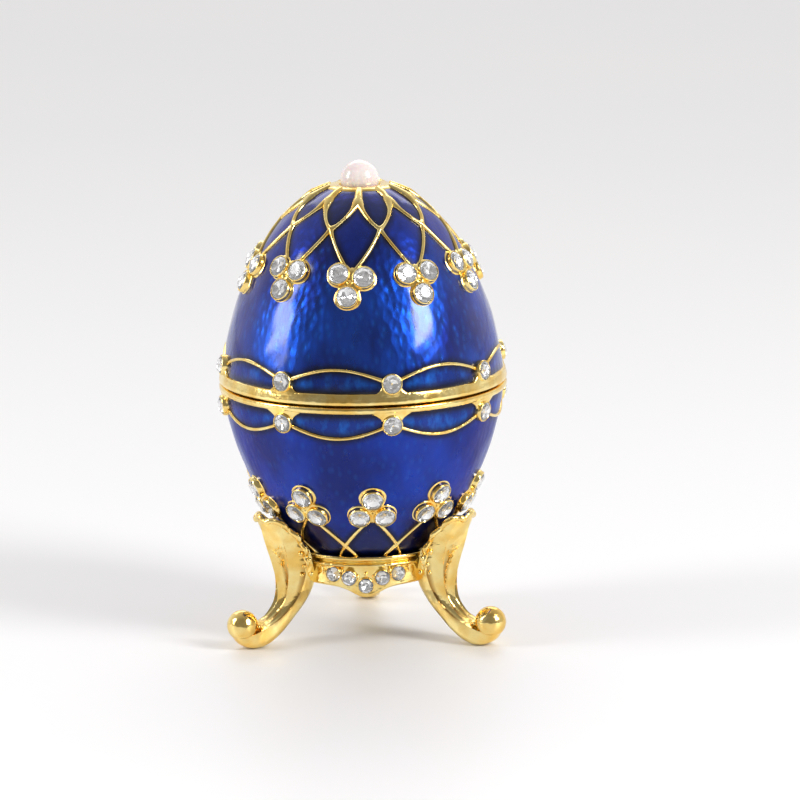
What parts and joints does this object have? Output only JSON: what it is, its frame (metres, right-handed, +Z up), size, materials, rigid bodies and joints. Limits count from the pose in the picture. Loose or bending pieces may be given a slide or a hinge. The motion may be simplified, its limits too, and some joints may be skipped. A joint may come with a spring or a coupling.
{
  "type": "jewelled egg trinket box",
  "caption": "Enamelled egg-shaped trinket box that opens at its middle, set with clear stones and a pearl, on a gold stand with leaf legs and ball feet.",
  "frame": {"origin": "middle of the whole object's footprint, on the table; the egg's own axis is 0.96 mm in front of it, along -Y", "axes": "+Z up along the egg; -Y towards the middle of the front apron, between two legs, with the third leg at +Y"},
  "size_m": [0.0436, 0.0455, 0.072],
  "materials": {
    "gold": "polished gold plate on a slightly uneven casting",
    "enamel": "glossy translucent cobalt enamel over hammered metal, with gold lines",
    "crystal": "clear faceted brilliant with a foil back",
    "pearl": "white pearl lustre with a pink tint"
  },
  "bodies": {
    "root": {"stand": "gold", "bowl": "enamel", "lid": "enamel", "pearl": "pearl", "lid_cluster_stone_1_low": "crystal", "lid_cluster_stone_1_right": "crystal", "lid_cluster_stone_1_left": "crystal", "lid_cluster_stone_2_low": "crystal", "lid_cluster_stone_2_right": "crystal", "lid_cluster_stone_2_left": "crystal", "lid_cluster_stone_3_low": "crystal", "lid_cluster_stone_3_right": "crystal", "lid_cluster_stone_3_left": "crystal", "lid_cluster_stone_4_low": "crystal", "lid_cluster_stone_4_right": "crystal", "lid_cluster_stone_4_left": "crystal", "lid_cluster_stone_5_low": "crystal", "lid_cluster_stone_5_right": "crystal", "lid_cluster_stone_5_left": "crystal", "lid_cluster_stone_6_low": "crystal", "lid_cluster_stone_6_right": "crystal", "lid_cluster_stone_6_left": "crystal", "lid_cluster_stone_7_low": "crystal", "lid_cluster_stone_7_right": "crystal", "lid_cluster_stone_7_left": "crystal", "lid_cluster_stone_8_low": "crystal", "lid_cluster_stone_8_right": "crystal", "lid_cluster_stone_8_left": "crystal", "lid_cluster_stone_9_low": "crystal", "lid_cluster_stone_9_right": "crystal", "lid_cluster_stone_9_left": "crystal", "lid_cluster_stone_10_low": "crystal", "lid_cluster_stone_10_right": "crystal", "lid_cluster_stone_10_left": "crystal", "lid_band_stone_1": "crystal", "lid_band_stone_2": "crystal", "lid_band_stone_3": "crystal", "lid_band_stone_4": "crystal", "lid_band_stone_5": "crystal", "lid_band_stone_6": "crystal", "lid_band_stone_7": "crystal", "lid_band_stone_8": "crystal", "bowl_band_stone_1": "crystal", "bowl_band_stone_2": "crystal", "bowl_band_stone_3": "crystal", "bowl_band_stone_4": "crystal", "bowl_band_stone_5": "crystal", "bowl_band_stone_6": "crystal", "bowl_band_stone_7": "crystal", "bowl_band_stone_8": "crystal"}
  },
  "joints": []
}
